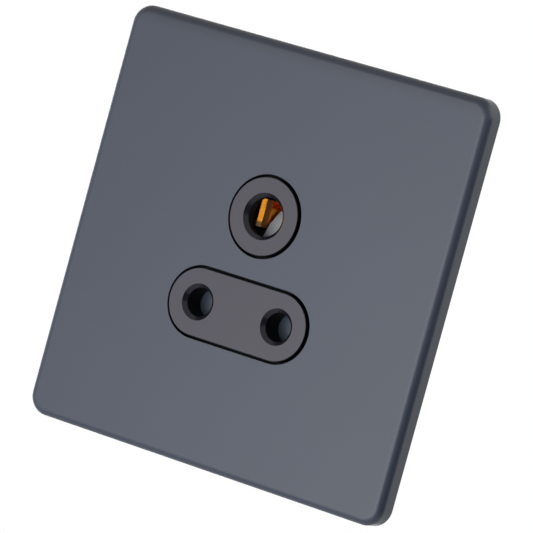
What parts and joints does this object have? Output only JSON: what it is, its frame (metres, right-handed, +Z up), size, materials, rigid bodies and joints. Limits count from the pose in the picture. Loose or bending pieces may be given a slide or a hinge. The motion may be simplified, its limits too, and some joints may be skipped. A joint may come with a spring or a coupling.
{
  "type": "round pin socket outlet",
  "caption": "Square screwless wall plate with a round boss and a long boss that hold the holes for round mains pins, on a moulded socket with a sliding shutter.",
  "frame": {"origin": "centre of the front plate on the wall plane, midway between the two fixing holes", "axes": "-Y points out of the wall into the room, +Z points up towards the earth hole, +X points right as seen from the room"},
  "size_m": [0.086, 0.0255, 0.086],
  "materials": {
    "plate_paint": "fine textured matt anthracite blue paint on pressed steel",
    "dark_moulding": "satin near-black thermoset",
    "frame_moulding": "black moulded polycarbonate",
    "shutter_moulding": "light grey low-friction moulding",
    "contact_bronze": "rolled phosphor bronze strip",
    "terminal_brass": "machined brass",
    "screw_steel": "bright plated steel",
    "spring_steel": "drawn spring wire"
  },
  "bodies": {
    "outlet": {"front_plate": "plate_paint", "clip_frame": "frame_moulding", "socket_front": "dark_moulding", "shutter_cover": "frame_moulding", "shutter_spring": "spring_steel", "rear_housing": "dark_moulding", "earth_contact": "contact_bronze", "line_contact": "contact_bronze", "neutral_contact": "contact_bronze", "earth_terminal": "terminal_brass", "line_terminal": "terminal_brass", "neutral_terminal": "terminal_brass", "earth_terminal_screw": "screw_steel", "line_terminal_screw": "screw_steel", "neutral_terminal_screw": "screw_steel", "earth_strap": "contact_bronze", "housing_screw_upper_right": "screw_steel", "housing_screw_upper_left": "screw_steel", "housing_screw_lower_right": "screw_steel", "housing_screw_lower_left": "screw_steel", "frame_screw_upper": "screw_steel", "frame_screw_lower": "screw_steel"},
    "shutter": {"shutter_carriage": "shutter_moulding"}
  },
  "joints": [
    {"name": "shutter_slide", "type": "slide", "parent": "outlet", "child": "shutter", "axis": [0, 0, -1], "range_m": [0, 0.006], "stiffness_N_per_m": 60, "springref_m": -0.003, "deforming": ["shutter_spring"]}
  ]
}
